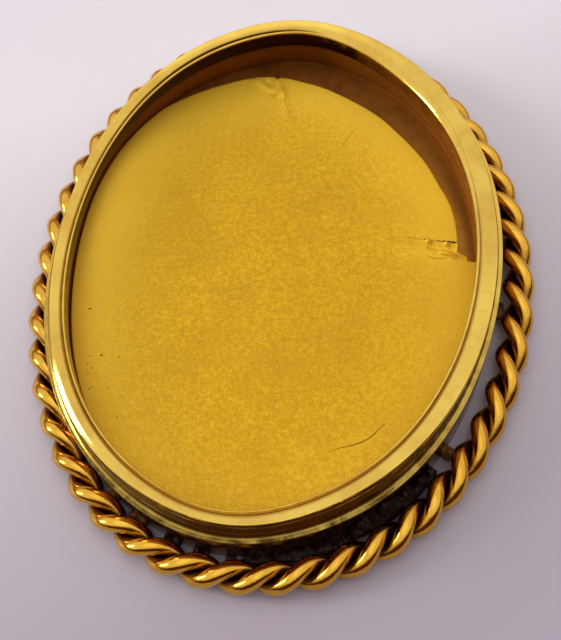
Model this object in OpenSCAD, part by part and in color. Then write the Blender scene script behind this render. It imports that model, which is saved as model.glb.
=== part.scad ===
// Oval photo brooch lying on its back: an open picture case with a twisted wire border.
// The long axis runs along Y and the picture faces +Z.
// The origin is the middle of the border's underside, on the surface that the brooch lies on.

/* [Bezel] */
// Half the width of the bezel across its top outer edge
bezel_half_w = 16.4; // [15.5:0.05:16.45]
// Half the length of the bezel across its top outer edge
bezel_half_l = 21.75; // [21:0.05:21.8]
// Height of the top outer edge above the surface
brooch_h = 5.8; // [5.6:0.1:6.4]
// Width of the sloping top band
band_w = 1.2; // [1.1:0.02:1.3]
// Drop of the band from its outer to its inner edge
band_drop = 0.58; // [0.5:0.02:0.8]
// Height by which the middle of the band swells above a straight slope
band_crown = 0.1; // [0.05:0.01:0.15]
// Depth of the lip that turns down inside the band
lip_h = 1.45; // [1:0.05:1.6]
// Thickness of the pressed sheet
sheet_t = 0.28; // [0.24:0.01:0.28]
// Drop from the top outer edge to the flat shoulder
shoulder_drop = 1.72; // [1.5:0.01:1.8]
// How far the shoulder reaches outside the top edge
shoulder_out = 0.74; // [0.7:0.01:0.86]
// How far the hollow moulding above the shoulder spreads outside the top edge
cove_out = 0.3; // [0.25:0.01:0.45]
// Height of the plain edge above the hollow moulding
edge_h = 0.3; // [0.2:0.05:0.4]

/* [Case] */
// How far the outer wall stands outside the bezel's top edge
wall_out = 0.64; // [0.6:0.01:0.66]
// Thickness of the walls
wall_t = 0.3; // [0.25:0.01:0.32]
// Distance of the recess wall inside the bezel's top edge
recess_in = 0.88; // [0.85:0.01:0.9]
// Depth of the recess floor below the bezel's top edge
recess_depth = 4.5; // [4.2:0.01:4.6]
// Thickness of the closed back
back_t = 0.3; // [0.25:0.05:0.35]
// Height of the outer wall's lower edge above the surface
wall_foot = 0.35; // [0.1:0.05:0.5]
// Width of each solder point that carries the border
solder_w = 0.9; // [0.7:0.05:1.1]

/* [Backing plate] */
// Thickness of the loose brass sheet
plate_t = 0.25; // [0.2:0.05:0.3]
// Gap between the sheet's regular edge and the recess wall
plate_gap = 0.2; // [0.15:0.05:0.3]
// How much shorter the sheet is at the top
plate_short = 1.6; // [1.2:0.1:2]
// How much narrower the sheet is at the upper right
plate_narrow = 0.95; // [0.6:0.05:1.2]
// Distance above the middle at which the right edge steps back out
plate_step_y = 2.2; // [0:0.1:4]

/* [Rope border] */
// Diameter of each of the two twisted wires
wire_d = 1.2; // [1.1:0.01:1.22]
// Half the width of the rope's middle line
rope_half_w = 18.5; // [18.48:0.01:18.7]
// Half the length of the rope's middle line
rope_half_l = 24.2; // [24.18:0.02:24.5]
// Degrees by which the soldered border stands turned against the case
rope_turn = 3; // [0:0.1:3.2]
// Full turns of twist around the oval
rope_turns = 24; // [20:1:28]
// Half the height of the soldered seam between the wires
seam_h = 0.32; // [0.25:0.01:0.4]

/* [Pin] */
// Diameter of the pin wire
pin_d = 0.8; // [0.6:0.05:0.9]
// Length of the pin between the middles of its hinge and its catch
pin_span = 22; // [16:1:24]
// Distance of the pin above the middle of the case
pin_y = 4; // [0:0.5:6]
// Length and width of the hinge and catch blocks
block_l = 2.6; // [2:0.1:3]
block_w = 2; // [1.6:0.1:2.4]

/* [Hidden] */

$fn = 96;

// Gap left between pieces
clear = 0.05;

// Flats round each oval outline
oval_steps = 80;

// Steps that measure the length of the rope's middle line
length_steps = 720;

// Height of the recess wall's top above the shoulder
wall_rise = 0.15;

// Heights above the surface
band_z = brooch_h - band_drop;
edge_z = brooch_h - edge_h;
shoulder_z = brooch_h - shoulder_drop;
seat_z = shoulder_z - sheet_t - clear;
inner_wall_z = shoulder_z + wall_rise;
floor_z = brooch_h - recess_depth;
back_z = floor_z - back_t;
rope_z = wire_d;

// Steps between the points that draw the hollow moulding, on its face and behind it
cove_step = 30;
cove_step_behind = 45;

// Directions of the solder points from the middle, counterclockwise from the right, and their bite
solder_dirs = [50, 90, 130, 180, 232, 308, 0];
solder_bite = 0.15;

// Rope section: two wires side by side, each cut aslant by the twist
rope_rings_per_turn = 12;
rope_section_points = 12;
wire_lean = 1.23;
rope_phase = 61;

// Point where the oval of half sizes w and l faces direction a, spread outward by out
function oval_point(w, l, a, out) = let (c = cos(a), s = sin(a), reach = norm([w * c, l * s]))
    [(w * w / reach + out) * c, (l * l / reach + out) * s];

// Point of the case's oval, spread outward from the bezel's top edge by out
function case_point(a, out) = oval_point(bezel_half_w, bezel_half_l, a, out);

// Distance from the middle to the rope's middle line, square to direction a
function rope_reach(a) = norm([rope_half_w * cos(a - rope_turn), rope_half_l * sin(a - rope_turn)]);

// Distance from the middle to the bezel's top edge, square to direction a
function case_reach(a) = norm([bezel_half_w * cos(a), bezel_half_l * sin(a)]);

// Length of step i along the rope's middle line
function rope_step(i) = let (t = 360 * i / length_steps, u = t + 360 / length_steps)
    norm([rope_half_w * (cos(u) - cos(t)), rope_half_l * (sin(u) - sin(t))]);

// Length along the rope's middle line up to each step, with the step's angle on the stretched circle
rope_lengths = [for (i = 0, sum = 0; i <= length_steps; sum = sum + rope_step(i), i = i + 1)
    [sum, 360 * i / length_steps]];
rope_length = rope_lengths[length_steps][0];

// Direction that the rope's oval faces at arc length s
function rope_dir(s) = let (t = lookup(s, rope_lengths)) atan2(rope_half_w * sin(t), rope_half_l * cos(t));

// Reach of the rope's section in direction a: a figure of eight with a filled waist
function section_reach(a) = let (c = abs(cos(a)), s = sin(a) / wire_lean)
    max(seam_h, wire_d * c / (c * c + s * s));

// Ring i of n: the section turned by the twist and set square to the oval
function rope_ring(i, n) = let (
        a = rope_dir(rope_length * i / n),
        p = oval_point(rope_half_w, rope_half_l, a, 0),
        twist = 360 * rope_turns * i / n + rope_phase)
    [for (k = [0 : rope_section_points - 1])
        let (b = 360 * k / rope_section_points, r = section_reach(b), f = b + twist)
        [p[0] + r * cos(f) * cos(a), p[1] + r * cos(f) * sin(a), rope_z + r * sin(f)]];

// Point of the hollow moulding after turning by t, on the sheet's face or behind it by depth
function cove_point(t, depth) = [
    cove_out * (1 - cos(t)) - depth * cos(t),
    edge_z - (edge_z - shoulder_z) * sin(t) - depth * sin(t)];

// Flat area inside the oval, spread outward by out
module oval_area(out) {
    polygon([for (i = [0 : oval_steps - 1]) case_point(360 * i / oval_steps, out)]);
}

// Upright oval wall of height h, from inside to outside
module oval_wall(inside, outside, z, h) {
    translate([0, 0, z]) linear_extrude(h) difference() {
        oval_area(outside);
        oval_area(inside);
    }
}

// Closed surface over n rings of m points, where the last ring meets the first
module ring_skin(rings) {
    n = len(rings);
    m = len(rings[0]);
    polyhedron(
        points = [for (ring = rings) each ring],
        faces = [for (i = [0 : n - 1], k = [0 : m - 1])
            let (j = (i + 1) % n, l = (k + 1) % m)
            each [[i * m + k, j * m + l, j * m + k], [i * m + k, i * m + l, j * m + l]]]);
}

// Pressed ring: sloping band, lip turned down inside, hollow moulding and flat shoulder outside
module bezel() {
    crown_z = (brooch_h + band_z) / 2 + band_crown;
    face = [
        [shoulder_out, shoulder_z],
        for (t = [90 : -cove_step : 0]) cove_point(t, 0),
        [0, brooch_h],
        [-band_w / 2, crown_z],
        [-band_w, band_z],
        [-band_w, band_z - lip_h]];
    behind = [
        [sheet_t - band_w, band_z - lip_h],
        [sheet_t - band_w, band_z - sheet_t],
        [-band_w / 2, crown_z - sheet_t],
        for (t = [0 : cove_step_behind : 90]) cove_point(t, sheet_t),
        [shoulder_out, shoulder_z - sheet_t]];
    profile = [each face, each behind];
    color([0.90, 0.77, 0.40]) ring_skin([for (i = [0 : oval_steps - 1])
        [for (q = profile) [each case_point(360 * i / oval_steps, q[0]), q[1]]]]);
}

// Solder between the case wall and the border, in direction a
module solder_point(a) {
    from = wall_out - solder_bite;
    p = case_point(a, from);
    translate([p[0], p[1], rope_z]) rotate([0, 0, a]) rotate([0, 90, 0])
        cylinder(d = solder_w, h = rope_reach(a) - case_reach(a) - wire_d - clear - from);
}

// Oval box, open at the top: outer wall, recess wall and closed back, with the border's solder
module case_body() {
    color([0.80, 0.64, 0.30]) {
        oval_wall(wall_out - wall_t, wall_out, wall_foot, seat_z - wall_foot);
        oval_wall(-recess_in, wall_t - recess_in, back_z, inner_wall_z - back_z);
        translate([0, 0, back_z]) linear_extrude(back_t) oval_area(wall_out - wall_t / 2);
        for (a = solder_dirs) solder_point(a);
    }
}

// Loose sheet cut short at the top and narrow at the upper right, with a step below that
module backing_plate() {
    edge = -recess_in - plate_gap;
    color([0.85, 0.67, 0.16]) translate([0, 0, floor_z + clear])
        linear_extrude(plate_t) intersection() {
            oval_area(edge);
            union() {
                translate([-plate_narrow, -plate_short]) oval_area(edge);
                translate([-bezel_half_w, plate_step_y - 2 * bezel_half_l])
                    square([2 * bezel_half_w, 2 * bezel_half_l]);
            }
        }
}

// Two wires twisted and soldered into one ring, swept once round the oval
module rope_border() {
    n = rope_turns * rope_rings_per_turn;
    color([0.86, 0.64, 0.24]) rotate([0, 0, rope_turn])
        ring_skin([for (i = [0 : n - 1]) rope_ring(i, n)]);
}

// Hinge block, pin and catch in one plain piece under the back
module pin_clasp() {
    pin_z = (back_z - clear) / 2;
    color([0.72, 0.58, 0.30]) translate([0, pin_y, 0]) {
        for (m = [-1, 1]) translate([(m * pin_span - block_l) / 2, -block_w / 2, 0])
            cube([block_l, block_w, back_z - clear]);
        translate([-pin_span / 2, 0, pin_z]) rotate([0, 90, 0]) cylinder(d = pin_d, h = pin_span);
        translate([pin_span / 2, 0, pin_z]) rotate([0, 90, 0])
            cylinder(d1 = pin_d, d2 = pin_d / 4, h = block_l);
    }
}

bezel();
case_body();
backing_plate();
rope_border();
pin_clasp();
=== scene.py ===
import math

import bpy
import numpy as np
from mathutils import Matrix, Vector, noise


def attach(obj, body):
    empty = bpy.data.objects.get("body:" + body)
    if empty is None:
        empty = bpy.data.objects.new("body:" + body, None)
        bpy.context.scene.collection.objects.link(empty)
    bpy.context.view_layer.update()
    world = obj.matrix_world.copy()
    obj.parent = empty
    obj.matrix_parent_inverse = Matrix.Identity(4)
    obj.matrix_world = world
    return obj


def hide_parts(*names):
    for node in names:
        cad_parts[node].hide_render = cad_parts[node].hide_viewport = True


# An oval photo brooch that lies on its back on pale paper beside a window, seen as in its photograph. Five
# meshes stand in for the five CAD nodes. Lengths are millimetres unless a comment says otherwise.
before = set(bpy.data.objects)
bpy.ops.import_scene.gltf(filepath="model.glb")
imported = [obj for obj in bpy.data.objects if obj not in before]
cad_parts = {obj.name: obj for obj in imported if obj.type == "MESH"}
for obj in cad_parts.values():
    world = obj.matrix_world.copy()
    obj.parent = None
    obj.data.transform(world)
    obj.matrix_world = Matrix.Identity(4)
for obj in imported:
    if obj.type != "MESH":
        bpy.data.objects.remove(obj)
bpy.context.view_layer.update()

# Metres in a millimetre
MM = 0.001

# Sizes repeated from the CAD source
HALF_W, HALF_L = 16.4, 21.75
TOP_Z, BAND_W, BAND_DROP, BAND_CROWN, LIP_H = 5.8, 1.2, 0.58, 0.1, 1.45
SHEET_T, SHOULDER_DROP, SHOULDER_OUT = 0.28, 1.72, 0.74
WALL_OUT, WALL_T, RECESS_IN, RECESS_DEPTH, WALL_RISE = 0.64, 0.3, 0.88, 4.5, 0.15
BACK_T, WALL_FOOT = 0.3, 0.35
PLATE_T, PLATE_GAP = 0.25, 0.2
WIRE_D, ROPE_W, ROPE_L, ROPE_TURNS = 1.2, 18.5, 24.2, 24
ROPE_TURN = math.radians(3)
PIN_D, PIN_SPAN, PIN_Y, BLOCK_L, BLOCK_W = 0.8, 22, 4, 2.6, 2
CLEAR = 0.05
BAND_Z = TOP_Z - BAND_DROP
SHOULDER_Z = TOP_Z - SHOULDER_DROP
SEAT_Z = SHOULDER_Z - SHEET_T - CLEAR
INNER_WALL_Z = SHOULDER_Z + WALL_RISE
FLOOR_Z = TOP_Z - RECESS_DEPTH
BACK_Z = FLOOR_Z - BACK_T
ROPE_Z = WIRE_D

# The photograph's size and the focal length, in pixels
PHOTO_W, PHOTO_H = 561, 640
FOCAL_PX = 1052.61

# The camera that fits the object's edges: its angles in radians and its distance in millimetres
CAM_ELEVATION, CAM_ROLL, CAM_TURN = 1.0784, -0.1574, -0.2629
CAM_DISTANCE = 78.0

# Pixel of the point straight above the origin at the height of the bezel's top edge
AIM_PX = (271.12, 240.46)

# Width of the sensor in millimetres, and the nearest and furthest distance seen in metres
SENSOR = 36.0
CLIP = (0.005, 20)

# How far each edge strays from its oval, in millimetres: the mean, then cosine and sine of each turn
OUTER_STRAY = (-0.012, 0.047, -0.055, 0.080, 0.055, 0.095, -0.098, 0.005, 0.028, 0.025, -0.031, -0.070,
               -0.010)
INNER_STRAY = (0.0, -0.222, 0.019, -0.015, -0.055, 0.110, -0.074, 0.065, 0.010, 0.030, 0.008, -0.064, 0.031)
RIM_STRAY = (-0.052, 0.010, -0.051, 0.015, 0.060, 0.045, -0.039, -0.004, 0.058, -0.023, 0.008, -0.056, 0.040)
ROPE_STRAY = (-0.219, 0.071, -0.131, 0.005, -0.071, 0.172, -0.109, -0.007, 0.021, 0.016, 0.033)

# Half turns of the twist at the rope's right end, then how they hurry and lag on the way round
TWIST_STRAY = (-0.662, -0.058, 0.065, 0.035, -0.189, -0.006, 0.023, -0.029, 0.0, -0.005, -0.018)

# Bulge of the recess wall at the left: its size, and the direction of its middle and its reach in radians
RECESS_BULGE = (0.58, 2.8, 0.55)

# Least distance of the recess wall outside the lip, and of the rope outside the outer wall
LIP_ROOM, ROPE_ROOM = 0.34, 0.03

# Points round the bezel, the case and the plate
AROUND = 480

# The largest share of a profile's side that the arc at one of its ends may take
MOST_OF_SIDE = 0.48


# ---------------------------------------------------------------- ovals
def directions(n):
    """Even angles once round, from the right counterclockwise."""
    return np.linspace(0, 2 * math.pi, n, endpoint=False)


def waves(table, a):
    """A closed wavy line over the angles a, from its mean and its cosine and sine sizes."""
    total = np.full(np.shape(a), table[0], float)
    for k in range(1, (len(table) + 1) // 2):
        total += table[2 * k - 1] * np.cos(k * a) + table[2 * k] * np.sin(k * a)
    return total


def ripple(a, seed, terms, size):
    """Smooth closed waviness over the angles a, the same on each run."""
    rng = np.random.default_rng(seed)
    total = np.zeros_like(a)
    for k in range(2, terms + 2):
        total += rng.normal() / k * np.cos(k * a + rng.uniform(0, 2 * math.pi))
    return size * total


def stretch(a, middle, width):
    """1 at the middle direction and 0 far from it, over the angles a; the middle and width are degrees."""
    away = (a - math.radians(middle) + math.pi) % (2 * math.pi) - math.pi
    return np.exp(-(away / math.radians(width)) ** 2)


def by_side(a, base, top, right, least=0.0):
    """A share that changes round the oval: its base, and what the top and the right side add to it."""
    return np.clip(base + top * np.sin(a) + right * np.cos(a), least, 1)


def ramp(value, start, length):
    """0 up to the start, then rising to 1 over the length."""
    return np.clip((value - start) / length, 0, 1)


def reach(w, l, a):
    """Distance from the middle of an oval to its edge, square to the angles a."""
    return np.hypot(w * np.cos(a), l * np.sin(a))


def oval(w, l, a, out):
    """Points where an oval faces the angles a, spread outward by out."""
    h = reach(w, l, a)
    return np.stack([(w * w / h + out) * np.cos(a), (l * l / h + out) * np.sin(a)], 1)


def bezel_line(a, out, z):
    """A line round the bezel, outward from its top edge and at height z, bent as the real edges are."""
    if out < 0:
        t = min(1.0, -out / BAND_W)
        other = waves(INNER_STRAY, a)
    else:
        t = min(1.0, max(0.0, (TOP_Z - z) / SHOULDER_DROP))
        other = waves(RIM_STRAY, a)
    stray = (1 - t) * waves(OUTER_STRAY, a) + t * other
    return np.column_stack([oval(HALF_W, HALF_L, a, out + stray), np.full(len(a), float(z))])


def wall_room(a):
    """How far outside the bezel's top edge the rope leaves the case wall free."""
    b = a - ROPE_TURN
    return reach(ROPE_W, ROPE_L, b) + waves(ROPE_STRAY, b) - reach(HALF_W, HALF_L, a) - WIRE_D


def outer_wall_stray(a):
    """How far the case's outer wall strays from its oval: it stays clear of the rope."""
    return np.minimum(waves(RIM_STRAY, a), wall_room(a) - WALL_OUT - ROPE_ROOM)


def recess_stray(a):
    """How far the recess wall strays from its oval: it stays outside the lip and bulges at the left."""
    size, middle, width = RECESS_BULGE
    wall = np.maximum(waves(OUTER_STRAY, a), waves(INNER_STRAY, a) - BAND_W + LIP_ROOM + RECESS_IN)
    return wall + size * np.exp(-((a - middle) / width) ** 2)


# ---------------------------------------------------------------- mesh helpers
def add_object(name, data):
    """A new object in the scene."""
    ob = bpy.data.objects.new(name, data)
    bpy.context.scene.collection.objects.link(ob)
    return ob


def make_piece(name, verts, faces, material, node, extra=None):
    """A smooth mesh in place of a CAD node, with the values of extra kept at its points."""
    me = bpy.data.meshes.new(name)
    me.from_pydata([tuple(v) for v in np.asarray(verts) * MM], [], faces)
    me.update()
    for key, values in (extra or {}).items():
        layer = me.attributes.new(key, "FLOAT", "POINT")
        layer.data.foreach_set("value", np.asarray(values, np.float32))
    me.polygons.foreach_set("use_smooth", [True] * len(me.polygons))
    me.materials.append(material)
    ob = add_object(name, me)
    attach(ob, "root")
    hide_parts(node)


def grid_faces(rows, cols, wrap_rows, wrap_cols, start=0):
    """Quads over a grid of points numbered row by row from start."""
    faces = []
    for i in range(rows if wrap_rows else rows - 1):
        this, following = start + i * cols, start + (i + 1) % rows * cols
        for k in range(cols if wrap_cols else cols - 1):
            m = (k + 1) % cols
            faces.append((this + k, this + m, following + m, following + k))
    return faces


def tube_faces(rows, cols, start=0):
    """Quads over a tube of closed rings, and a face across each end."""
    last = start + (rows - 1) * cols
    ends = [tuple(range(start + cols - 1, start - 1, -1)), tuple(range(last, last + cols))]
    return grid_faces(rows, cols, False, True, start) + ends


def rounded(corners):
    """Points of a profile whose corners (x, z, radius, steps) are turned by arcs."""
    pts = []
    for i, (x, z, radius, steps) in enumerate(corners):
        if radius <= 0 or i in (0, len(corners) - 1):
            pts.append((x, z))
            continue
        p = np.array((x, z))
        u = np.array(corners[i - 1][:2]) - p
        v = np.array(corners[i + 1][:2]) - p
        lu, lv = np.linalg.norm(u), np.linalg.norm(v)
        u, v = u / lu, v / lv
        half = math.acos(max(-1, min(1, float(u @ v)))) / 2
        cut = min(radius / math.tan(half), MOST_OF_SIDE * lu, MOST_OF_SIDE * lv)
        a, b = p + u * cut, p + v * cut
        for t in np.linspace(0, 1, steps + 1):
            pts.append(tuple((1 - t) ** 2 * a + 2 * t * (1 - t) * p + t * t * b))
    return [tuple(map(float, q)) for q in pts]


def smooth_line(knots, steps):
    """A smooth line through the knots, with the given steps between each two."""
    k = np.array(knots, float)
    k = np.concatenate([[2 * k[0] - k[1]], k, [2 * k[-1] - k[-2]]])
    out = []
    for i in range(1, len(k) - 2):
        a, b, c, d = k[i - 1], k[i], k[i + 1], k[i + 2]
        for t in np.arange(steps) / steps:
            out.append(0.5 * (2 * b + (c - a) * t + (2 * a - 5 * b + 4 * c - d) * t * t
                              + (3 * b - a - 3 * c + d) * t ** 3))
    out.append(k[-2])
    return np.array(out)


# ---------------------------------------------------------------- node helpers
def turned(v):
    """A direction or place given as right, away and up from the camera's side, in the shared frame."""
    c, s = math.cos(-CAM_TURN), math.sin(-CAM_TURN)
    return Vector((c * v[0] - s * v[1], s * v[0] + c * v[1], v[2]))


class Nodes:
    """A short way to write a node tree."""

    def __init__(self, tree):
        self.tree = tree
        tree.nodes.clear()

    def add(self, kind, props=None, **inputs):
        """A node with its properties and inputs; _ stands for a space in the name of an input."""
        n = self.tree.nodes.new(kind)
        for k, v in (props or {}).items():
            setattr(n, k, v)
        for k, v in inputs.items():
            self.put(n, k.replace("_", " "), v)
        return n

    def put(self, n, key, v):
        """Feed an input, given by its name or as # and its number, from a node, a socket or a value."""
        socket = n.inputs[int(key[1:])] if key[0] == "#" else n.inputs[key]
        if isinstance(v, bpy.types.NodeSocket):
            self.tree.links.new(v, socket)
        elif isinstance(v, bpy.types.Node):
            self.tree.links.new(v.outputs[0], socket)
        else:
            socket.default_value = v

    def numbered(self, n, *values):
        """Feed the first inputs of a node in their order."""
        for i, v in enumerate(values):
            self.put(n, f"#{i}", v)

    def math(self, op, a, b, clamp=False):
        """The result of an operation on two values."""
        n = self.add("ShaderNodeMath", {"operation": op, "use_clamp": clamp})
        self.numbered(n, a, b)
        return n.outputs[0]

    def plus(self, a, b):
        """Both values together."""
        return self.math("ADD", a, b)

    def times(self, a, b):
        """One value as many times as the other says."""
        return self.math("MULTIPLY", a, b)

    def mix(self, share, a, b):
        """The colour a where the share is 0 and b where it is 1."""
        n = self.add("ShaderNodeMix", {"data_type": "RGBA"})
        for key, value in (("#0", share), ("#6", a), ("#7", b)):
            self.put(n, key, value)
        return n.outputs[2]

    def remap(self, v, low, high, a=0.0, b=1.0):
        """A value that goes from a to b while v goes from low to high."""
        n = self.add("ShaderNodeMapRange", {"clamp": True})
        self.numbered(n, v, low, high, a, b)
        return n.outputs[0]

    def noise(self, where, scale, detail, rough, distortion=0.0):
        """A cloudy pattern."""
        return self.add("ShaderNodeTexNoise", Vector=where, Scale=scale, Detail=detail, Roughness=rough,
                        Distortion=distortion).outputs[0]

    def attribute(self, name):
        """A value kept at the points of the mesh."""
        return self.add("ShaderNodeAttribute", {"attribute_name": name}).outputs["Fac"]

    def along(self, where, direction):
        """How far each place lies in a direction given as right, away and up from the camera's side."""
        n = self.add("ShaderNodeVectorMath", {"operation": "DOT_PRODUCT"})
        self.numbered(n, where, tuple(turned(direction)))
        return n.outputs["Value"]


def new_material(name):
    """An empty material and its node tree."""
    m = bpy.data.materials.new(name)
    m.use_nodes = True
    return m, Nodes(m.node_tree)


def rgb(*colour):
    """A linear colour from 0-255 sRGB numbers."""
    shares = [c / 255 for c in colour]
    return tuple(((c + 0.055) / 1.055) ** 2.4 if c > 0.04 else c / 12.92 for c in shares) + (1.0,)


# ---------------------------------------------------------------- metals
# The patterns of the metal: scale for each metre, detail, roughness and, where it has any, distortion
CLOUDS, FINE, SMEARS = (220, 4, 0.6), (2600, 3, 0.6), (700, 5, 0.65, 0.6)
SPECKLES, SMUDGES = (6400, 2, 0.7), (120, 3, 0.55, 0.8)

# Between which ends of the clouds and smears the colour deepens, and by how much
CLOUD_TINT_ENDS, CLOUD_TINT = (0.35, 0.7), 0.35
SMEAR_TINT_ENDS, SMEAR_TINT = (0.5, 0.8), 0.3

# How far the roughness falls below and rises above its mean with the clouds, and what smears add to it
CLOUD_GLOSS_ENDS, GLOSS_BELOW, GLOSS_ABOVE = (0.3, 0.7), 0.25, 0.35
SMEAR_GLOSS_ENDS, SMEAR_GLOSS = (0.55, 0.8), 0.5

# The grain of satin metal: low and high end of each pattern, and how much it deepens the colour at these
FINE_TINT, SPECKLE_TINT, SMUDGE_TINT = (0.35, 0.65, 0.0, 0.7), (0.4, 0.65, 0.0, 0.75), (0.45, 0.7, 0.0, 0.4)

# Between which ends of the speckles the grain roughens the metal
GRAIN_ENDS = (0.4, 0.75)

# Stains: how much they roughen the metal, and the share of it left bare under them
STAIN_ROUGH, STAIN_BARE = 0.4, 0.15

# Tarnish and painted shade in hollows: how the smears break it up, and how much it roughens the metal
TARNISH_PATCHES, TARNISH_ROUGH = (0.3, 0.6, 0.6, 1.1), 0.15

# Dirt where marked, on the case's solder also painted shade: how much it roughens the metal, and the share
# of it that the dirt covers
DIRT_ROUGH, DIRT_COVER = 0.3, 0.8

# Depth of the bump in metres, strength of the plain reflection and roughness of the clear coat
BUMP_DEPTH, SPECULAR, COAT_ROUGH = 0.00001, 0.2, 0.08

# Detail and roughness of the slight dents
DENTS = (2, 0.5)


def metal(name, colour, deep, roughness, wave, wave_scale=900, grain=0.0, fine_wave=0.05, cavity=0.0,
          tarnish_and_shade_colour=None, stain=None, marks=None, body=1.0, vary=1.0, coat=0.0, painted_light=None):
    """Metal with clouded colour, uneven gloss and slight dents; tarnish and painted shade where its mesh
    says, dirt where marked (on the case's solder also painted shade), painted light where told.
    """
    m, t = new_material(name)
    where = t.add("ShaderNodeTexCoord").outputs["Object"]
    cloud, fine, smear = t.noise(where, *CLOUDS), t.noise(where, *FINE), t.noise(where, *SMEARS)
    tint = t.mix(t.remap(cloud, *CLOUD_TINT_ENDS, 0.0, CLOUD_TINT * vary), colour, deep)
    tint = t.mix(t.remap(smear, *SMEAR_TINT_ENDS, 0.0, SMEAR_TINT * vary), tint, deep)
    rough = t.remap(cloud, *CLOUD_GLOSS_ENDS, roughness * (1 - GLOSS_BELOW * vary),
                    roughness * (1 + GLOSS_ABOVE * vary))
    rough = t.plus(rough, t.remap(smear, *SMEAR_GLOSS_ENDS, 0.0, roughness * SMEAR_GLOSS * vary))
    if grain:
        speckle, smudge = t.noise(where, *SPECKLES), t.noise(where, *SMUDGES)
        for pattern, ends in ((fine, FINE_TINT), (speckle, SPECKLE_TINT), (smudge, SMUDGE_TINT)):
            tint = t.mix(t.remap(pattern, *ends), tint, deep)
        rough = t.plus(rough, t.remap(speckle, *GRAIN_ENDS, 0.0, grain))
    if stain:
        dull = t.attribute("dull")
        tint = t.mix(dull, tint, t.mix(smear, *stain))
        rough = t.plus(rough, t.times(dull, STAIN_ROUGH))
        body = t.times(body, t.remap(dull, 0.0, 1.0, 1.0, STAIN_BARE))
    # Tarnish and painted shade: the mesh's values darken hollows and the sides that lie in shade
    if cavity:
        hollow = t.times(t.attribute("tarnish_and_shade"), cavity)
        hollow = t.times(hollow, t.remap(smear, *TARNISH_PATCHES))
        tint = t.mix(hollow, tint, tarnish_and_shade_colour or TARNISH_AND_SHADE)
        rough = t.plus(rough, t.times(hollow, TARNISH_ROUGH))
        if coat:
            coat = t.times(coat, t.math("SUBTRACT", 1.0, hollow, clamp=True))
    # Painted light: a paler colour where the mesh says so
    if painted_light:
        tint = t.mix(t.attribute("painted_light"), tint, painted_light)
    if marks:
        mark = t.attribute("mark")
        tint = t.mix(mark, tint, marks)
        rough = t.plus(rough, t.times(mark, DIRT_ROUGH))
        body = t.times(body, t.math("SUBTRACT", 1.0, t.times(mark, DIRT_COVER)))
    dents = t.times(t.noise(where, wave_scale, *DENTS), wave)
    bump = t.add("ShaderNodeBump", Strength=1.0, Distance=BUMP_DEPTH,
                 Height=t.plus(dents, t.times(fine, fine_wave)))
    shader = t.add("ShaderNodeBsdfPrincipled", Metallic=body, Base_Color=tint, Roughness=rough,
                   Specular_IOR_Level=SPECULAR, Coat_Weight=coat, Coat_Roughness=COAT_ROUGH, Normal=bump)
    t.add("ShaderNodeOutputMaterial", Surface=shader)
    return m


# Colours of tarnish with painted shade in hollows, and of soot with painted shade on the solder
TARNISH_AND_SHADE, SOOT_AND_SHADE = rgb(44, 17, 5), rgb(26, 12, 5)
STAIN = (rgb(128, 58, 2), rgb(222, 134, 6))
GILT = metal("gilt_polished", rgb(238, 202, 86), rgb(196, 142, 44), 0.08, wave=0.7, cavity=0.9, vary=1.5,
             coat=0.4)
# The wires darken to a reddish brown between them: tarnish and painted shade
GILT_ROPE = metal("gilt_wire", rgb(234, 182, 58), rgb(190, 124, 32), 0.12, wave=2.2,
                  wave_scale=1300, fine_wave=0.12, cavity=0.95, tarnish_and_shade_colour=rgb(84, 34, 10), coat=0.3)
GILT_CASE = metal("gilt_case", rgb(216, 156, 66), rgb(190, 120, 46), 0.12, wave=0.8, cavity=0.8, stain=STAIN,
                  marks=SOOT_AND_SHADE)
# The brass is painted paler near the rim: painted light
BRASS = metal("brass_satin", rgb(236, 190, 30), rgb(194, 144, 18), 0.46, wave=1.6, wave_scale=600, grain=0.1,
              fine_wave=0.3, marks=rgb(74, 42, 8), body=0.4, vary=0.45, painted_light=rgb(255, 208, 60))
PIN_METAL = metal("pin_metal", rgb(214, 170, 84), rgb(170, 120, 52), 0.3, wave=1.0)


# ---------------------------------------------------------------- bezel
# The hollow moulding from the top edge to the shoulder: outward, and the height against the top edge
HOLLOW = ((0.0, -0.3), (0.0, -0.55), (0.0, -0.85), (0.01, -1.12), (0.06, -1.3), (0.15, -1.42),
          (0.26, -1.54), (0.4, -1.64), (0.56, -1.71))

# Steps between the points of the moulding
HOLLOW_STEPS = 4

# Where the section begins under the shoulder, outward, and where it ends under the band, outward and down
FOOT_OUT, UNDER_BAND = 0.3, (-0.1, 0.5)

# The band's outer edge, crisp and worn: how far its facet reaches inward and down
OUTER_EDGE = ((0.05, 0.04), (0.37, 0.278))

# The band's inner edge, crisp and worn: how far the facet's start moves outward and its end moves down
INNER_EDGE = ((0.0, 0.0), (0.3, 0.09))

# The worn stretches of the two edges: direction of the middle and reach, in degrees
OUTER_WORN, INNER_WORN = (215, 26), (37, 22)

# The plain part of the band: how far past the outer facet it starts and where it ends, in shares of the
# band's width, and the points across it
FLAT_START, FLAT_END, FLAT_POINTS = 0.12, 0.62, 8

# A fine groove near the band's inner edge: distance from the outer edge, half width and depth
GROOVE = (1.05, 0.035, 0.045)

# Across the groove: place in half widths and share of the depth
GROOVE_SHAPE = ((-1, 0), (-0.5, 0.7), (0, 1), (0.5, 0.7), (1, 0))

# The stretch where the groove is worn away: direction of the middle and reach, in degrees
GROOVE_WORN = (60, 65)

# Where the lip is filed short: the share that is missing, and the direction of its middle and its reach in
# degrees
LIP_CUT = (0.42, 168, 30)

# Which points the filing moves: how far outside the lip's back they may lie, and from how far below the
# band's inner edge
LIP_CUT_OUT, LIP_CUT_LOW = 0.01, 0.1

# Extra lines round the lip, below the band's inner edge
LIP_LINES = (0.16, 0.3)

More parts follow.
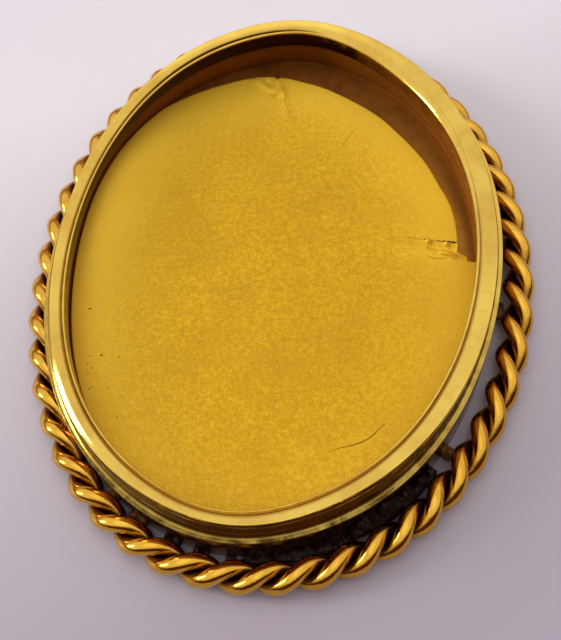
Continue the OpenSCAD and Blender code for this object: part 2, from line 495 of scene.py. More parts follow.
# Radius and steps of the section's corners
SHARP, FOOT_CORNER, SHOULDER_CORNER = (0, 1), (0.05, 3), (0.06, 5)
TOP_CORNER, FACET_CORNER, INNER_CORNER = (0.1, 4), (0.16, 4), (0.05, 8)
LIP_CORNER, LIP_BACK_CORNER, BEND_CORNER = (0.05, 4), (0.05, 3), (0.1, 3)

# Slight waviness of the bezel's height: seed, terms and size
BEZEL_WAVE = (4, 24, 0.012)

# Tarnish and painted shade of the moulding, darker at the bottom: where it sets in below the top and over
# what height, its strength and its sides
MOULDING_FADE, MOULDING_TARNISH_AND_SHADE, MOULDING_SIDES = (0.2, 0.5), 0.65, (0.15, -1.2, 0, 0.12)

# Painted shade on the shoulder at the bottom: how far out it starts, how far below the face it goes, its
# strength and its sides
SHOULDER_START, SHOULDER_UNDER, SHOULDER_SHADE, SHOULDER_SIDES = 0.5, 0.1, 0.95, (0.1, -1.2, 0)

# Painted shade high in the moulding at the right: how far out it ends, its strength and its sides
RIGHT_END, RIGHT_SHADE, RIGHT_SIDES = 0.42, 0.85, (0, 0, 1.8)

# Tarnish and painted shade of the lip: where it sets in below the band and over what height, its strength,
# and darker patches of painted shade at the top and the left, each with its strength, the direction of its
# middle and its reach in degrees
LIP_FADE, LIP_TARNISH_AND_SHADE, LIP_PATCHES = (0.06, 0.08), 0.3, ((1.9, 108, 42), (1.2, 172, 36))

# Tarnish of the groove, and the share of its half width that has it
GROOVE_DIRT, GROOVE_DIRT_SHARE = 0.9, 0.8

# How far inside the top edge the moulding's tarnish and painted shade give way to those of the groove and
# the lip
BAND_START = 0.2


def bezel_profile(outer, inner, cut_depth):
    """Outward and upward points of the pressed section, the same count for every rounding."""
    (back, down), (spread, drop) = outer, inner
    foot_z, lip_z, lip_back = SHOULDER_Z - SHEET_T, BAND_Z - LIP_H, SHEET_T - BAND_W
    middle_z = (TOP_Z + BAND_Z) / 2
    crown_z = middle_z + BAND_CROWN

    def band_point(t):
        swell = 2 * t * (1 - t) * (2 * crown_z - middle_z)
        return -BAND_W * t, (1 - t) ** 2 * TOP_Z + swell + t * t * BAND_Z

    face = rounded([(FOOT_OUT, foot_z, *SHARP), (SHOULDER_OUT, foot_z, *FOOT_CORNER),
                    (SHOULDER_OUT, SHOULDER_Z, *SHOULDER_CORNER),
                    (HOLLOW[-1][0], TOP_Z + HOLLOW[-1][1], *SHARP)])
    hollow = [(x, TOP_Z + z) for x, z in smooth_line(HOLLOW, HOLLOW_STEPS)][::-1]
    facet_end = back / BAND_W
    flat = [band_point(t) for t in np.linspace(facet_end + FLAT_START, FLAT_END, FLAT_POINTS)]
    cut = []
    for across, share in GROOVE_SHAPE:
        x, z = band_point((GROOVE[0] - spread + across * GROOVE[1]) / BAND_W)
        cut.append((x, z - cut_depth * share))
    edge = rounded([(*hollow[-1], *SHARP), (0.0, TOP_Z - down, *TOP_CORNER),
                    (*band_point(facet_end), *FACET_CORNER), (*flat[0], *SHARP)])
    lip = rounded([(*cut[-1], *SHARP), (-BAND_W, BAND_Z - drop, *INNER_CORNER),
                   *[(-BAND_W, BAND_Z - low - drop, *SHARP) for low in LIP_LINES],
                   (-BAND_W, lip_z, *LIP_CORNER), (lip_back, lip_z, *LIP_BACK_CORNER),
                   (lip_back, BAND_Z - SHEET_T, *BEND_CORNER), (-BAND_W / 2, crown_z - SHEET_T, *SHARP)])
    end = (UNDER_BAND[0], TOP_Z - UNDER_BAND[1])
    return np.array(face[:-1] + hollow[:-1] + edge[:-1] + flat + cut + lip[1:] + [end])


def bezel_tarnish_and_shade(a, out, z, groove_left):
    """Tarnish and painted shade along one line of the bezel."""
    if out > -BAND_START:
        dirt_and_shade = ramp(TOP_Z - z, *MOULDING_FADE) * MOULDING_TARNISH_AND_SHADE * by_side(a, *MOULDING_SIDES)
        if out > SHOULDER_START and z > SHOULDER_Z - SHOULDER_UNDER:
            dirt_and_shade = SHOULDER_SHADE * by_side(a, *SHOULDER_SIDES)
        return np.maximum(dirt_and_shade, RIGHT_SHADE * by_side(a, *RIGHT_SIDES) * (0.0 < out < RIGHT_END))
    patches = sum((size * stretch(a, middle, width) for size, middle, width in LIP_PATCHES), LIP_TARNISH_AND_SHADE)
    in_groove = abs(-out - GROOVE[0]) < GROOVE[1] * GROOVE_DIRT_SHARE and z > BAND_Z
    return np.maximum(ramp(BAND_Z - z, *LIP_FADE) * patches, groove_left * GROOVE_DIRT * in_groove)


def build_bezel():
    """The pressed front ring, with two worn edges, a groove and a filed lip."""
    a = directions(AROUND)
    crisp = bezel_profile(OUTER_EDGE[0], INNER_EDGE[0], GROOVE[2])
    changes = (
        (stretch(a, *OUTER_WORN), bezel_profile(OUTER_EDGE[1], INNER_EDGE[0], GROOVE[2]) - crisp),
        (stretch(a, *INNER_WORN), bezel_profile(OUTER_EDGE[0], INNER_EDGE[1], GROOVE[2]) - crisp),
        (stretch(a, *GROOVE_WORN), bezel_profile(OUTER_EDGE[0], INNER_EDGE[0], 0.0) - crisp))
    outward = np.stack([np.cos(a), np.sin(a)], 1)
    height_wave = ripple(a, *BEZEL_WAVE)
    groove_left = 1 - stretch(a, *GROOVE_WORN)
    verts, tarnish_and_shade = [], []
    for i, (out, z) in enumerate(crisp):
        ring = bezel_line(a, out, z)
        change = sum(np.outer(share, moved[i]) for share, moved in changes)
        ring[:, :2] += change[:, :1] * outward
        ring[:, 2] = ring[:, 2] + height_wave + change[:, 1]
        if out < SHEET_T - BAND_W + LIP_CUT_OUT and z < BAND_Z - LIP_CUT_LOW:
            ring[:, 2] += (BAND_Z - z) * LIP_CUT[0] * stretch(a, *LIP_CUT[1:])
        verts.append(ring)
        tarnish_and_shade.append(bezel_tarnish_and_shade(a, out, z, groove_left))
    make_piece("bezel_band", np.concatenate(verts), grid_faces(len(crisp), AROUND, True, True), GILT,
               "bezel", {"tarnish_and_shade": np.concatenate(tarnish_and_shade)})


# ---------------------------------------------------------------- case
# Old solder in the gap to the rope, in dark runs that along the bottom and lower right also stand for the
# gap's deep
# shadow (painted shade): first and last facing direction in degrees, lowest and highest point, seed of the
# lumps, and darkness
SOLDER = (
    (303, 326, 0.4, 2.6, 1, 1.0), (285, 304, 0.4, 1.2, 2, 1.0), (267, 287, 0.4, 0.9, 3, 1.0),
    (257, 262, 0.4, 0.9, 4, 1.0), (247.5, 253, 0.4, 0.9, 5, 1.0), (236, 242, 0.4, 1.1, 6, 0.9),
    (228, 232, 0.4, 1.3, 7, 0.8), (329, 331.5, 0.5, 1.6, 14, 0.8), (355, 358, 0.5, 1.1, 8, 0.9),
    (10, 13, 0.5, 1.3, 9, 0.5), (48, 52, 0.5, 1.3, 10, 0.5), (88, 92, 0.5, 1.3, 11, 0.5),
    (128, 132, 0.5, 1.3, 12, 0.5), (178, 182, 0.5, 1.3, 13, 0.5))

# Rings of a run of solder, at least and for each radian of its length, and points round each
SOLDER_LEAST, SOLDER_RINGS, SOLDER_AROUND = 14, 240, 20

# How far the solder reaches into the wires, its lowest height, how full its tips are, and how blunt
SOLDER_BITE, SOLDER_LOWEST, SOLDER_TIP, SOLDER_BLUNT = 0.2, 0.15, 0.004, 2.5

# Its squarish section: power of the cosine, width at the tips, and what the width gains towards mid-run
SOLDER_SQUARE, SOLDER_NARROW, SOLDER_WIDEN = 0.6, 0.6, 0.4

# Its lumps: steps of the noise along, round and from run to run, then finer steps and the sizes of both
LUMP_ALONG, LUMP_ROUND, LUMP_RUN, LUMP_FINE, LUMP_SIZES = 30, 0.9, 7, 3.1, (0.9, 0.5)

# Rings across the recess floor and across the back, as shares of their ovals
FLOOR_RINGS = (0.002, 0.2, 0.4, 0.6, 0.75, 0.85, 0.92, 0.96, 0.98, 0.99)
BACK_RINGS = (0.99, 0.95, 0.85, 0.7, 0.5, 0.25, 0.002)

# The rounded foot of the recess wall: how far in it begins and how high it ends
FILLET_IN, FILLET_H = 0.2, 0.7

# Radius and steps of the case's corners
FILLET, BRIM, INNER_FOOT, SEAT_INNER, SEAT_OUTER = (0.4, 8), (0.05, 3), (0.05, 2), (0.04, 2), (0.04, 3)
WALL_END, BACK_EDGE = (0.08, 4), (0.12, 5)

# Stains of the recess: the least, the most that is added, and how this changes round it
STAIN_LEAST, STAIN_MORE, STAIN_SIDES = 0.25, 0.75, (0.35, 0.8, -0.6)

# How the painted shade of the recess changes round it: darkest at the top and the left
SHADE_SIDES = (0.25, 0.9, -0.45)

# Tarnish and painted shade of the recess floor and of its wall: the least, and the most that is added round
# it
FLOOR_SHADE, WALL_SHADE = (0.45, 0.45), (0.3, 0.6)

# How much less painted shade the recess wall has higher up, and the height from which it stays so
WALL_LESS, WALL_CLEAN_H = 0.2, 0.9

# Points no further outside the recess wall's face than this belong to the recess
NEAR_FACE = 0.02

# Tarnish outside, with painted shade low on the outer wall beside the rope: high and low on the outer wall,
# the height between them, and the back
HIGH_DIRT, LOW_SHADE, LOW_Z, BACK_DIRT = 0.5, 0.9, 2, 0.2


def solder_run(first, until, low, high, seed, start):
    """A lumpy closed run of solder between the case wall and the rope."""
    rows = max(SOLDER_LEAST, int((until - first) * SOLDER_RINGS))
    a = np.linspace(first, until, rows)
    end = np.sqrt(np.maximum(SOLDER_TIP, 1 - np.abs(np.linspace(-1, 1, rows)) ** SOLDER_BLUNT))
    wall = WALL_OUT - WALL_T / 2 + outer_wall_stray(a)
    far = wall_room(a) + SOLDER_BITE
    verts = []
    for i in range(rows):
        for p in directions(SOLDER_AROUND):
            c, s = math.cos(p), math.sin(p)
            v = Vector((a[i] * LUMP_ALONG, LUMP_ROUND * c, LUMP_ROUND * s + seed * LUMP_RUN))
            lump = 1 + LUMP_SIZES[0] * noise.noise(v) + LUMP_SIZES[1] * noise.noise(v * LUMP_FINE)
            side = math.copysign(abs(c) ** SOLDER_SQUARE, c) * (SOLDER_NARROW + SOLDER_WIDEN * end[i])
            out = (wall[i] + far[i]) / 2 + (far[i] - wall[i]) / 2 * side
            z = (low + high) / 2 + (high - low) / 2 * s * end[i] * (lump if s > 0 else 1.0)
            verts.append((*oval(HALF_W, HALF_L, a[i:i + 1], out)[0], max(SOLDER_LOWEST, z)))
    return np.array(verts), tube_faces(rows, SOLDER_AROUND, start)


def build_case():
    """The oval box with its recess, closed back and solder, with painted shade in the recess and low on the
    outer wall.
    """
    a = directions(AROUND)
    inner, wall_in = -RECESS_IN, WALL_OUT - WALL_T
    profile = rounded([
        (inner - FILLET_IN, FLOOR_Z, *SHARP), (inner, FLOOR_Z, *FILLET), (inner, FLOOR_Z + FILLET_H, *SHARP),
        (inner, INNER_WALL_Z, *BRIM), (inner + WALL_T, INNER_WALL_Z, *BRIM),
        (inner + WALL_T, FLOOR_Z, *INNER_FOOT), (wall_in, FLOOR_Z, *INNER_FOOT),
        (wall_in, SEAT_Z, *SEAT_INNER), (WALL_OUT, SEAT_Z, *SEAT_OUTER), (WALL_OUT, WALL_FOOT, *WALL_END),
        (wall_in, WALL_FOOT, *WALL_END), (wall_in, BACK_Z, *BACK_EDGE), (wall_in - WALL_T, BACK_Z, *SHARP)])
    recess, outer = recess_stray(a), outer_wall_stray(a)
    stained = STAIN_LEAST + STAIN_MORE * by_side(a, *STAIN_SIDES)
    shade = by_side(a, *SHADE_SIDES)
    rings, tarnish_and_shade, dull = [], [], []

    def put(xy, z, dirt_and_shade, stain=0.0):
        rings.append(np.column_stack([xy, np.full(AROUND, z)]))
        tarnish_and_shade.append(np.zeros(AROUND) + dirt_and_shade)
        dull.append(np.zeros(AROUND) + stain)

    floor = oval(HALF_W, HALF_L, a, profile[0][0] + recess)
    for share in FLOOR_RINGS:
        # Painted shade on the recess floor, darker at the top and the left
        put(floor * share, FLOOR_Z, FLOOR_SHADE[0] + FLOOR_SHADE[1] * shade, stained)
    for out, z in profile:
        line = oval(HALF_W, HALF_L, a, out + (recess if out < 0 else outer))
        if out < inner + NEAR_FACE:
            height = min(1.0, (z - FLOOR_Z) / WALL_CLEAN_H)
            dirt_and_shade = WALL_SHADE[0] - WALL_LESS * height + WALL_SHADE[1] * shade
            put(line, z, dirt_and_shade, np.maximum(stained, 1 - height))
        else:
            put(line, z, HIGH_DIRT if z > LOW_Z else LOW_SHADE)
    back = oval(HALF_W, HALF_L, a, profile[-1][0])
    for share in BACK_RINGS:
        put(back * share, BACK_Z, BACK_DIRT)
    verts = np.concatenate(rings)
    faces = [f[::-1] for f in tube_faces(len(rings), AROUND)]
    mark = np.zeros(len(verts))
    # The solder's darkness: soot, and painted shade where the runs fill the gap's shadow
    for first, until, low, high, seed, dirt_and_shade in SOLDER:
        lump, lump_faces = solder_run(math.radians(first), math.radians(until), low, high, seed, len(verts))
        verts = np.concatenate([verts, lump])
        faces += lump_faces
        mark = np.concatenate([mark, np.full(len(lump), dirt_and_shade)])
    clear = np.zeros(len(verts) - len(rings) * AROUND)
    tarnish_and_shade, dull = np.concatenate(tarnish_and_shade + [clear]), np.concatenate(dull + [clear])
    make_piece("case_box", verts, faces, GILT_CASE, "case_body",
               {"tarnish_and_shade": tarnish_and_shade, "dull": dull, "mark": mark})


# ---------------------------------------------------------------- plate
# The sheet's hand-cut edge from the step at the right over the top to the left side
PLATE_CUT = (
    (14.61, 1.9), (14.6, 2.28), (14.25, 2.42), (13.85, 2.6), (13.75, 4.2), (13.46, 5.84), (12.95, 7.3),
    (12.18, 8.71), (10.75, 11.2), (8.64, 13.6), (6.6, 15.45), (4.2, 16.96), (1.8, 18.1), (-0.6, 18.8),
    (-1.9, 19.02), (-2.27, 18.76), (-2.6, 19.07), (-4.6, 18.8), (-6.8, 18.0), (-8.75, 17.03),
    (-10.9, 15.5), (-12.56, 13.75))

# Steps between the points of the cut edge
CUT_STEPS = 6

# Raggedness of the cut edge: seed, terms and size
CUT_RAG = (9, 90, 0.05)

# Rings of the sheet, their innermost share, and the power that crowds them toward the edge
PLATE_ROWS, INNERMOST, CROWDING = 150, 0.004, 0.85

# Points round the recess from which the sheet's full outline is read
OUTLINE_POINTS = 1440

# Slow waves of the sheet: steps of the noise for each millimetre, its layer, and scale and size of each wave
WAVE_STEP, WAVE_LAYER, SHEET_WAVES = 0.09, 3.3, ((1, 0.05), (4, 0.02))

# How the sheet's left edge rides up: its rise, the direction of its middle and its width in radians, and its
# reach inward
PLATE_LIFT = (0.8, 2.9, 0.34, 2.6)

# The margin near the rim painted paler, painted light against the recess wall's shade: its width, and its
# strength from an even share, the right side, both sides and the top
MARGIN_W, MARGIN_SIDES = 4.5, (0.45, -0.25, 0.3, 0.25)

# Folds of the sheet: height, width and the line they follow
PLATE_FOLDS = (
    (0.22, 0.14, ((11.2, 3.4), (12.4, 3.3), (13.9, 3.2))), (0.3, 0.12, ((11.5, 3.45), (11.7, 3.3))),
    (0.35, 0.1, ((12.9, 3.3), (13.1, 3.2))), (0.4, 0.1, ((13.9, 3.3), (14.0, 3.0))),
    (-0.15, 0.25, ((11.8, 2.9), (13.6, 2.7))), (0.14, 0.5, ((8.5, 3.1), (13.8, 2.4))),
    (0.25, 0.15, ((12.6, 2.5), (13.6, 2.2))),
    (0.2, 0.22, ((-2.2, 18.6), (-1.7, 17.2))), (0.14, 0.3, ((-3.9, 18.6), (-2.7, 17.7))),
    (-0.12, 0.35, ((-2.9, 18.4), (-2.4, 17.4))), (0.1, 0.3, ((-1.6, 17.6), (-0.7, 14.4))),
    (0.06, 0.9, ((-9.0, -4.5), (-2.0, -1.5), (5.0, 1.5))), (-0.06, 1.2, ((-8.0, 9.0), (1.0, 12.0))))

# Tear, scratches and hairline creases: darkness, width and the points they pass
PLATE_LINES = (
    (1.0, 0.035, ((11.0, 3.62), (11.7, 3.5), (12.3, 3.55), (13.0, 3.47), (13.7, 3.5))),
    (1.0, 0.11, ((12.4, 3.5), (13.1, 3.52), (13.76, 3.5))),
    (0.8, 0.04, ((5.74, -14.56), (6.4, -14.2), (7.1, -13.97), (7.9, -13.6), (8.58, -13.08), (9.1, -12.4),
                 (9.42, -12.08))),
    (0.5, 0.022, ((3.87, 11.73), (4.05, 12.3), (4.41, 13.0), (4.6, 13.5), (5.06, 14.08))),
    (0.4, 0.02, ((-1.54, 17.94), (-1.3, 17.0), (-1.25, 16.3), (-0.8, 15.4), (-0.62, 14.55))),
    (0.4, 0.018, ((-3.31, -3.0), (-2.6, -2.75), (-2.0, -2.9), (-1.13, -3.0))),
    (0.45, 0.02, ((-3.9, -2.7), (-3.3, -2.2), (-2.4, -1.9), (-1.6, -1.3), (-0.6, -1.0))),
    (0.3, 0.018, ((-9.5, 6.2), (-7.4, 6.9), (-5.0, 7.2))),
    (0.7, 0.03, ((9.9, 3.75), (10.5, 3.65), (11.0, 3.6))),
    (0.5, 0.03, ((11.4, 2.2), (12.2, 1.95), (13.1, 2.0))))

# Steps between the points of such a line
LINE_STEPS = 8

# Turn from one speck to the next, and how far each bends
SPECK_TURN, SPECK_BEND = 2.4, 0.3

# Specks: darkness, half width, place and half length
PLATE_SPECKS = (
    (0.7, 0.07, -13.85, -4.68, 0.12), (0.7, 0.07, -12.2, -8.55, 0.11), (0.45, 0.035, -10.8, -8.5, 0.14),
    (0.5, 0.035, -12.5, -11.25, 0.2), (0.5, 0.035, -13.0, -8.7, 0.1), (0.5, 0.04, -13.1, -9.3, 0.08),
    (0.5, 0.04, -12.7, -9.6, 0.1), (0.5, 0.035, -12.9, -10.1, 0.08), (0.4, 0.035, -12.3, -10.0, 0.07),
    (0.5, 0.035, -13.2, -10.7, 0.1), (0.5, 0.03, -10.0, -13.4, 0.1), (0.5, 0.03, -11.2, -11.1, 0.1),
    (0.4, 0.03, -9.0, -9.1, 0.08), (0.5, 0.045, 0.95, 1.4, 0.06), (0.4, 0.03, 5.0, -6.2, 0.08),
    (0.4, 0.03, -4.2, -12.6, 0.06), (0.4, 0.03, 8.7, 8.4, 0.06), (0.4, 0.03, 2.4, -9.5, 0.05),
    (0.4, 0.03, -6.3, 2.4, 0.05), (0.4, 0.03, 11.6, -4.1, 0.07))

# A hair line: points round it, the angle of the sine at which its taper starts, and height against width
HAIR_AROUND, HAIR_TIP, HAIR_HEIGHT = 6, 0.15, 0.4


def distance_to(xy, line):
    """Distance of each point of a grid to a line of straight pieces."""
    best = np.full(xy.shape[:2], 1e9)
    for p, q in zip(line[:-1], line[1:]):
        p, q = np.array(p), np.array(q)
        t = np.clip(((xy - p) @ (q - p)) / ((q - p) @ (q - p)), 0, 1)
        best = np.minimum(best, np.linalg.norm(xy - (p + t[:, :, None] * (q - p)), axis=2))
    return best


def surface_height(line, xy, z):
    """Height of the grid's point nearest to each point of a line."""
    flat, level = xy.reshape(-1, 2), z.reshape(-1)
    return np.array([level[np.argmin(((flat - p) ** 2).sum(1))] for p in line])


def hair_line(line, level, width, start):
    """A thin closed ridge along a line on the sheet, tapered at its ends."""
    tangent = np.gradient(line, axis=0)
    tangent /= np.linalg.norm(tangent, axis=1)[:, None]
    side = np.stack([-tangent[:, 1], tangent[:, 0]], 1)
    taper = np.sin(np.linspace(HAIR_TIP, math.pi - HAIR_TIP, len(line))) ** 0.5
    verts = []
    for i in range(len(line)):
        r = width * taper[i]
        for p in directions(HAIR_AROUND):
            x, y = line[i] + side[i] * r * math.cos(p)
            verts.append((x, y, level[i] + HAIR_HEIGHT * r * math.sin(p)))
    return np.array(verts), tube_faces(len(line), HAIR_AROUND, start)


def polar_radius(points, theta):
    """Distance of a closed outline from the middle in the directions theta."""
    ang = np.arctan2(points[:, 1], points[:, 0])
    order = np.argsort(ang)
    ang, rad = ang[order], np.hypot(points[:, 0], points[:, 1])[order]
    ang = np.concatenate([ang - 2 * math.pi, ang, ang + 2 * math.pi])
    return np.interp(theta, ang, np.concatenate([rad, rad, rad]))


def speck_knots(i, x, y, half):
    """The short bent line of speck i."""
    dx, dy = half * math.cos(SPECK_TURN * i), half * math.sin(SPECK_TURN * i)
    return (x - dx, y - dy), (x + SPECK_BEND * dy, y - SPECK_BEND * dx), (x + dx, y + dy)


def sheet_wave(x, y):
    """Height of the sheet's slow waves at a place."""
    v = Vector((x * WAVE_STEP, y * WAVE_STEP, WAVE_LAYER))
    return sum(size * noise.noise(v * scale) for scale, size in SHEET_WAVES)


def build_plate():
    """The loose brass sheet: hand-cut, wavy, folded, torn and scratched, with its left edge riding up and
    painted light near the rim.
    """
    theta = np.linspace(-math.pi, math.pi, AROUND, endpoint=False)
    a = directions(OUTLINE_POINTS)
    r_whole = polar_radius(oval(HALF_W, HALF_L, a, recess_stray(a) - RECESS_IN - PLATE_GAP), theta)
    cut = smooth_line(PLATE_CUT, CUT_STEPS)
    ang = np.arctan2(cut[:, 1], cut[:, 0])
    r_cut = np.interp(theta, ang, np.hypot(cut[:, 0], cut[:, 1])) + ripple(theta, *CUT_RAG)
    r = np.where((theta > ang[0]) & (theta < ang[-1]), np.minimum(r_whole, r_cut), r_whole)
    s = np.linspace(INNERMOST, 1, PLATE_ROWS) ** CROWDING
    xy = s[:, None, None] * (r[None, :, None] * np.stack([np.cos(theta), np.sin(theta)], 1)[None])

    z = np.array([[sheet_wave(x, y) for x, y in row] for row in xy])
    for height, width, line in PLATE_FOLDS:
        z += height * np.exp(-(distance_to(xy, line) / width) ** 2)
    facing = np.arctan2(np.sin(theta) / HALF_L ** 2, np.cos(theta) / HALF_W ** 2) % (2 * math.pi)
    to_rim = (1 - s)[:, None] * r_whole[None, :]
    rise, middle, width, inward = PLATE_LIFT
    lift = rise * np.exp(-((facing - middle) / width) ** 2)
    z += lift[None, :] * np.exp(-(to_rim / inward) ** 2)
    bottom = FLOOR_Z + CLEAR
    z = bottom + PLATE_T + z

    top = np.concatenate([xy, z[:, :, None]], 2).reshape(-1, 3)
    lower = [np.column_stack([xy[-1] * share, np.full(AROUND, bottom)]) for share in (1, INNERMOST)]
    verts = np.concatenate([top, *lower])
    faces = [f[::-1] for f in tube_faces(PLATE_ROWS + 2, AROUND)]
    even, right, both, up = MARGIN_SIDES
    paler = even + right * np.cos(theta) + both * np.cos(theta) ** 2 + up * np.sin(theta)
    # Painted light near the rim, strongest at the left
    painted_light = np.exp(-(to_rim / MARGIN_W) ** 2) * np.clip(paler, 0, 1)
    painted_light = np.concatenate([painted_light.ravel(), painted_light[-1], np.zeros(AROUND)])
    mark = np.zeros(len(verts))
    specks = [(dark, size, speck_knots(i, *place)) for i, (dark, size, *place) in enumerate(PLATE_SPECKS)]
    for dark, width, knots in (*PLATE_LINES, *specks):
        line = smooth_line(knots, LINE_STEPS)
        hair, hair_faces = hair_line(line, surface_height(line, xy, z), width, len(verts))
        verts = np.concatenate([verts, hair])
        faces += hair_faces
        mark = np.concatenate([mark, np.full(len(hair), dark)])
        painted_light = np.concatenate([painted_light, np.zeros(len(hair))])
    make_piece("plate_sheet", verts, faces, BRASS, "backing_plate",
               {"mark": mark, "painted_light": painted_light})


# ---------------------------------------------------------------- rope
# Rings for each turn of the twist, points round each wire, and steps that measure the middle line
RINGS_PER_TURN, WIRE_AROUND, LENGTH_STEPS = 36, 24, 7200

# Tarnish and painted shade between the wires: its share at the sides, and what the inner side adds and the
# outer takes
CREVICE_SHADE, CREVICE_MORE = 0.3, 0.95


def unit(rows):
    """Each row at length 1."""
    return rows / np.linalg.norm(rows, axis=1)[:, None]


def build_rope():
    """Two wires twisted round the rope's middle line, evenly along it apart from the measured strays."""
    rings = ROPE_TURNS * RINGS_PER_TURN
    t = np.linspace(0, 2 * math.pi, LENGTH_STEPS + 1)
    line = np.stack([ROPE_W * np.cos(t), ROPE_L * np.sin(t)], 1)
    lengths = np.concatenate([[0], np.cumsum(np.linalg.norm(np.diff(line, axis=0), axis=1))])
    part = np.linspace(0, 1, rings, endpoint=False)
    t = np.interp(part * lengths[-1], lengths, t)
    a = np.arctan2(ROPE_W * np.sin(t), ROPE_L * np.cos(t))
    c, s = math.cos(ROPE_TURN), math.sin(ROPE_TURN)
    flat = oval(ROPE_W, ROPE_L, a, waves(ROPE_STRAY, a)) @ np.array(((c, s), (-s, c)))
    mid = np.column_stack([flat, np.full(rings, ROPE_Z)])
    outward = np.column_stack([np.cos(a + ROPE_TURN), np.sin(a + ROPE_TURN), np.zeros(rings)])
    up = np.array((0.0, 0.0, 1.0))
    verts, faces, tarnish_and_shade = [], [], []
    for k in range(2):
        f = math.pi * (2 * ROPE_TURNS * part + waves(TWIST_STRAY, 2 * math.pi * part) + k)
        arm = np.cos(f)[:, None] * outward + np.sin(f)[:, None] * up
        path = mid + WIRE_D / 2 * arm
        tangent = unit(np.roll(path, -1, 0) - np.roll(path, 1, 0))
        e = unit(arm - (arm * tangent).sum(1)[:, None] * tangent)
        b = np.cross(tangent, e)
        faces += grid_faces(WIRE_AROUND, rings, True, True, len(verts) * rings)
        for p in directions(WIRE_AROUND):
            verts.append(path + WIRE_D / 2 * (math.cos(p) * e + math.sin(p) * b))
            # Tarnish and painted shade, darkest where the two wires meet
            tarnish_and_shade.append(np.full(rings, np.clip(CREVICE_SHADE - CREVICE_MORE * math.cos(p), 0, 1)))
    make_piece("rope_wires", np.concatenate(verts), faces, GILT_ROPE, "rope_border",
               {"tarnish_and_shade": np.concatenate(tarnish_and_shade)})


# ---------------------------------------------------------------- pin
# Points round the pin, its taper past the catch in shares of the block's length and of the pin's radius
PIN_AROUND, PIN_TAPER = 24, ((0.5, 0.6), (1, 0.25))

# Radius of the blocks' rounded corners, and points on each corner
BLOCK_R, BLOCK_STEPS = 0.25, 5


def round_bar(sections, y, z, start):
    """A closed round bar along X through sections of (x, radius)."""
    verts = [(x, y + r * math.cos(p), z + r * math.sin(p))
             for x, r in sections for p in directions(PIN_AROUND)]
    return verts, tube_faces(len(sections), PIN_AROUND, start)


def soft_block(x, y, top, start):
    """A closed block round the place x, y whose upright corners and lower edges are rounded."""
    half_l, half_w = BLOCK_L / 2 - BLOCK_R, BLOCK_W / 2 - BLOCK_R
    quarter = np.linspace(0, math.pi / 2, BLOCK_STEPS)
    levels = [(BLOCK_R * math.sin(q), BLOCK_R * (1 - math.cos(q))) for q in quarter] + [(BLOCK_R, top)]
    verts = []
    for r, z in levels:
        for i, (mx, my) in enumerate(((1, 1), (-1, 1), (-1, -1), (1, -1))):
            for q in quarter + math.pi / 2 * i:
                verts.append((x + mx * half_l + r * math.cos(q), y + my * half_w + r * math.sin(q), z))
    return verts, tube_faces(len(levels), 4 * BLOCK_STEPS, start)


def build_pin():
    """Hinge block, pin and catch in one plain piece."""
    top, r, half = BACK_Z - CLEAR, PIN_D / 2, PIN_SPAN / 2
    verts, faces = [], []
    for x in (-half, half):
        block, block_faces = soft_block(x, PIN_Y, top, len(verts))
        verts += block
        faces += block_faces
    sections = [(-half, r), (half, r)] + [(half + along * BLOCK_L, share * r) for along, share in PIN_TAPER]
    bar, bar_faces = round_bar(sections, PIN_Y, top / 2, len(verts))
    make_piece("pin_wire", verts + bar, faces + bar_faces, PIN_METAL, "pin_clasp")


# ---------------------------------------------------------------- floor, light, room and camera
# The floor's half size in metres, and its lines each way
FLOOR_HALF, FLOOR_LINES = 1.5, 40

# The paper: its two colours, its colour under painted shade and its roughness
PAPER, PAPER_SHADED, PAPER_ROUGH = (rgb(228, 224, 228), rgb(235, 231, 235)), rgb(176, 166, 176), 0.6

# The patterns of the paper's colour and fibres, and the strength and the depth in metres of the fibres
PAPER_CLOUDS, PAPER_FIBRES, FIBRE_BUMP, FIBRE_DEPTH = (40, 4, 0.6), (1500, 3, 0.6), 0.3, 0.00002

# Painted shade that greys the paper towards the near side: direction as right, away and up, and span of the
# change in metres
PAPER_SHADE_FALL = (0.1, -1.0, 0.0)
PAPER_SHADE_SPAN = (-0.022, 0.026)

# The window: place as right, away and up in metres, width and height, watts and colour
WINDOW_PLACE, WINDOW_SIZE = (-0.665, 0.141, 0.361), (0.19, 0.26)
WINDOW_POWER, WINDOW_COLOUR = 2.0, (1.0, 0.98, 1.0)

# Light of the room: pale beyond the brooch, at the left and at the right, dark and warm on the near side
FAR_ROOM, FAR_ROOM_RIGHT, NEAR_ROOM = rgb(250, 248, 251), rgb(246, 241, 245), rgb(80, 44, 28)

# Where the far side changes to its right-hand colour, on the way from -1 at the left to 1 at the right
RIGHT_ENDS = (-0.4, 0.9)

# The room near the horizon, beyond the brooch and on the near side, and the heights where it gives way
LOW_ROOM, NEAR_HORIZON = rgb(150, 112, 78), rgb(190, 180, 180)
LOW_ENDS, HORIZON_ENDS = (0.12, 0.45), (0.03, 0.1)

# Tilt of the border between the near and the far side, and how soft it is
ROOM_TILT = math.radians(46)
ROOM_EDGE = (-0.08, 0.2)

# The brighter ceiling: the heights over which it sets in, and the strength below and above them
CEILING = (0.88, 0.99, 1.0, 1.4)


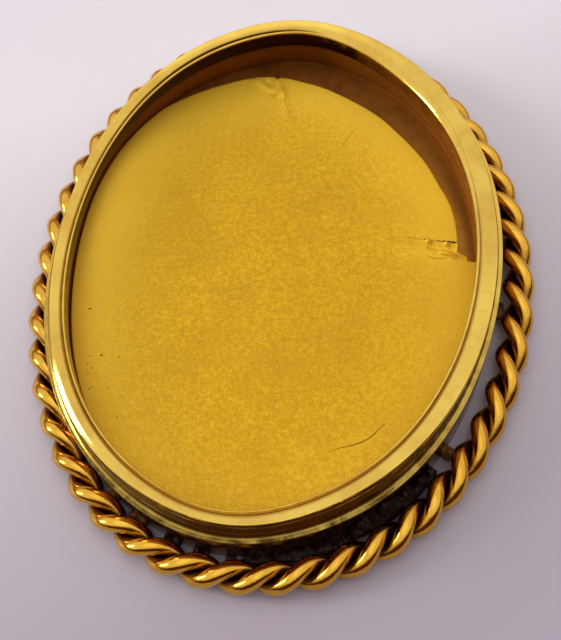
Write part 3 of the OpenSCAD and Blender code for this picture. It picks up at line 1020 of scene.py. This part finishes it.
def build_floor():
    """Pale paper, with painted shade towards the near side."""
    g = np.linspace(-FLOOR_HALF, FLOOR_HALF, FLOOR_LINES)
    me = bpy.data.meshes.new("floor")
    places = [(x, y, 0.0) for y in g for x in g]
    me.from_pydata(places, [], grid_faces(FLOOR_LINES, FLOOR_LINES, False, False))
    ob = add_object("floor", me)
    m, t = new_material("white_paper")
    where = t.add("ShaderNodeTexCoord").outputs["Object"]
    # Painted shade: the paper darkens towards the near side
    shaded = t.remap(t.along(where, PAPER_SHADE_FALL), *PAPER_SHADE_SPAN)
    tint = t.mix(shaded, t.mix(t.noise(where, *PAPER_CLOUDS), *PAPER), PAPER_SHADED)
    bump = t.add("ShaderNodeBump", Strength=FIBRE_BUMP, Distance=FIBRE_DEPTH,
                 Height=t.noise(where, *PAPER_FIBRES))
    shader = t.add("ShaderNodeBsdfPrincipled", Roughness=PAPER_ROUGH, Base_Color=tint, Normal=bump)
    t.add("ShaderNodeOutputMaterial", Surface=shader)
    me.materials.append(m)


def build_window():
    """One soft window that faces the brooch."""
    data = bpy.data.lights.new("window", "AREA")
    data.shape = "RECTANGLE"
    data.size, data.size_y = WINDOW_SIZE
    data.energy = WINDOW_POWER
    data.color = WINDOW_COLOUR
    ob = add_object("window", data)
    ob.location = turned(WINDOW_PLACE)
    ob.rotation_euler = (-ob.location).to_track_quat("-Z", "Y").to_euler()


def build_room():
    """Soft light from all round."""
    w = bpy.data.worlds.new("room")
    bpy.context.scene.world = w
    w.use_nodes = True
    t = Nodes(w.node_tree)
    where = t.add("ShaderNodeTexCoord").outputs["Generated"]
    right, up = t.along(where, (1, 0, 0)), t.along(where, (0, 0, 1))
    away = t.along(where, (0, math.cos(ROOM_TILT), math.sin(ROOM_TILT)))
    far = t.mix(t.remap(right, *RIGHT_ENDS), FAR_ROOM, FAR_ROOM_RIGHT)
    far = t.mix(t.remap(up, *LOW_ENDS), LOW_ROOM, far)
    near = t.mix(t.remap(up, *HORIZON_ENDS), NEAR_HORIZON, NEAR_ROOM)
    glow = t.add("ShaderNodeBackground", Color=t.mix(t.remap(away, *ROOM_EDGE), near, far),
                 Strength=t.remap(up, *CEILING))
    t.add("ShaderNodeOutputWorld", Surface=glow)


def build_camera():
    """The camera that sees the brooch as the photograph does."""
    back = Vector((0, -math.cos(CAM_ELEVATION), math.sin(CAM_ELEVATION)))
    level = (-back).cross(Vector((0, 0, 1))).normalized()
    upright = level.cross(-back)
    c, s = math.cos(CAM_ROLL), math.sin(CAM_ROLL)
    right, up = c * level + s * upright, -s * level + c * upright
    x = (AIM_PX[0] - PHOTO_W / 2) / FOCAL_PX * CAM_DISTANCE
    y = -(AIM_PX[1] - PHOTO_H / 2) / FOCAL_PX * CAM_DISTANCE
    eye = turned(-x * right - y * up + CAM_DISTANCE * back) + Vector((0, 0, TOP_Z))
    data = bpy.data.cameras.new("photo_camera")
    data.sensor_width = SENSOR
    data.lens = FOCAL_PX / PHOTO_H * SENSOR
    data.clip_start, data.clip_end = CLIP
    ob = add_object("photo_camera", data)
    axes = Matrix((turned(right), turned(up), turned(back))).transposed()
    ob.matrix_world = Matrix.Translation(eye * MM) @ axes.to_4x4()
    bpy.context.scene.camera = ob


build_bezel()
build_case()
build_plate()
build_rope()
build_pin()
build_floor()
build_window()
build_room()
build_camera()
bpy.context.scene.view_settings.view_transform = "Standard"

bpy.context.view_layer.update()
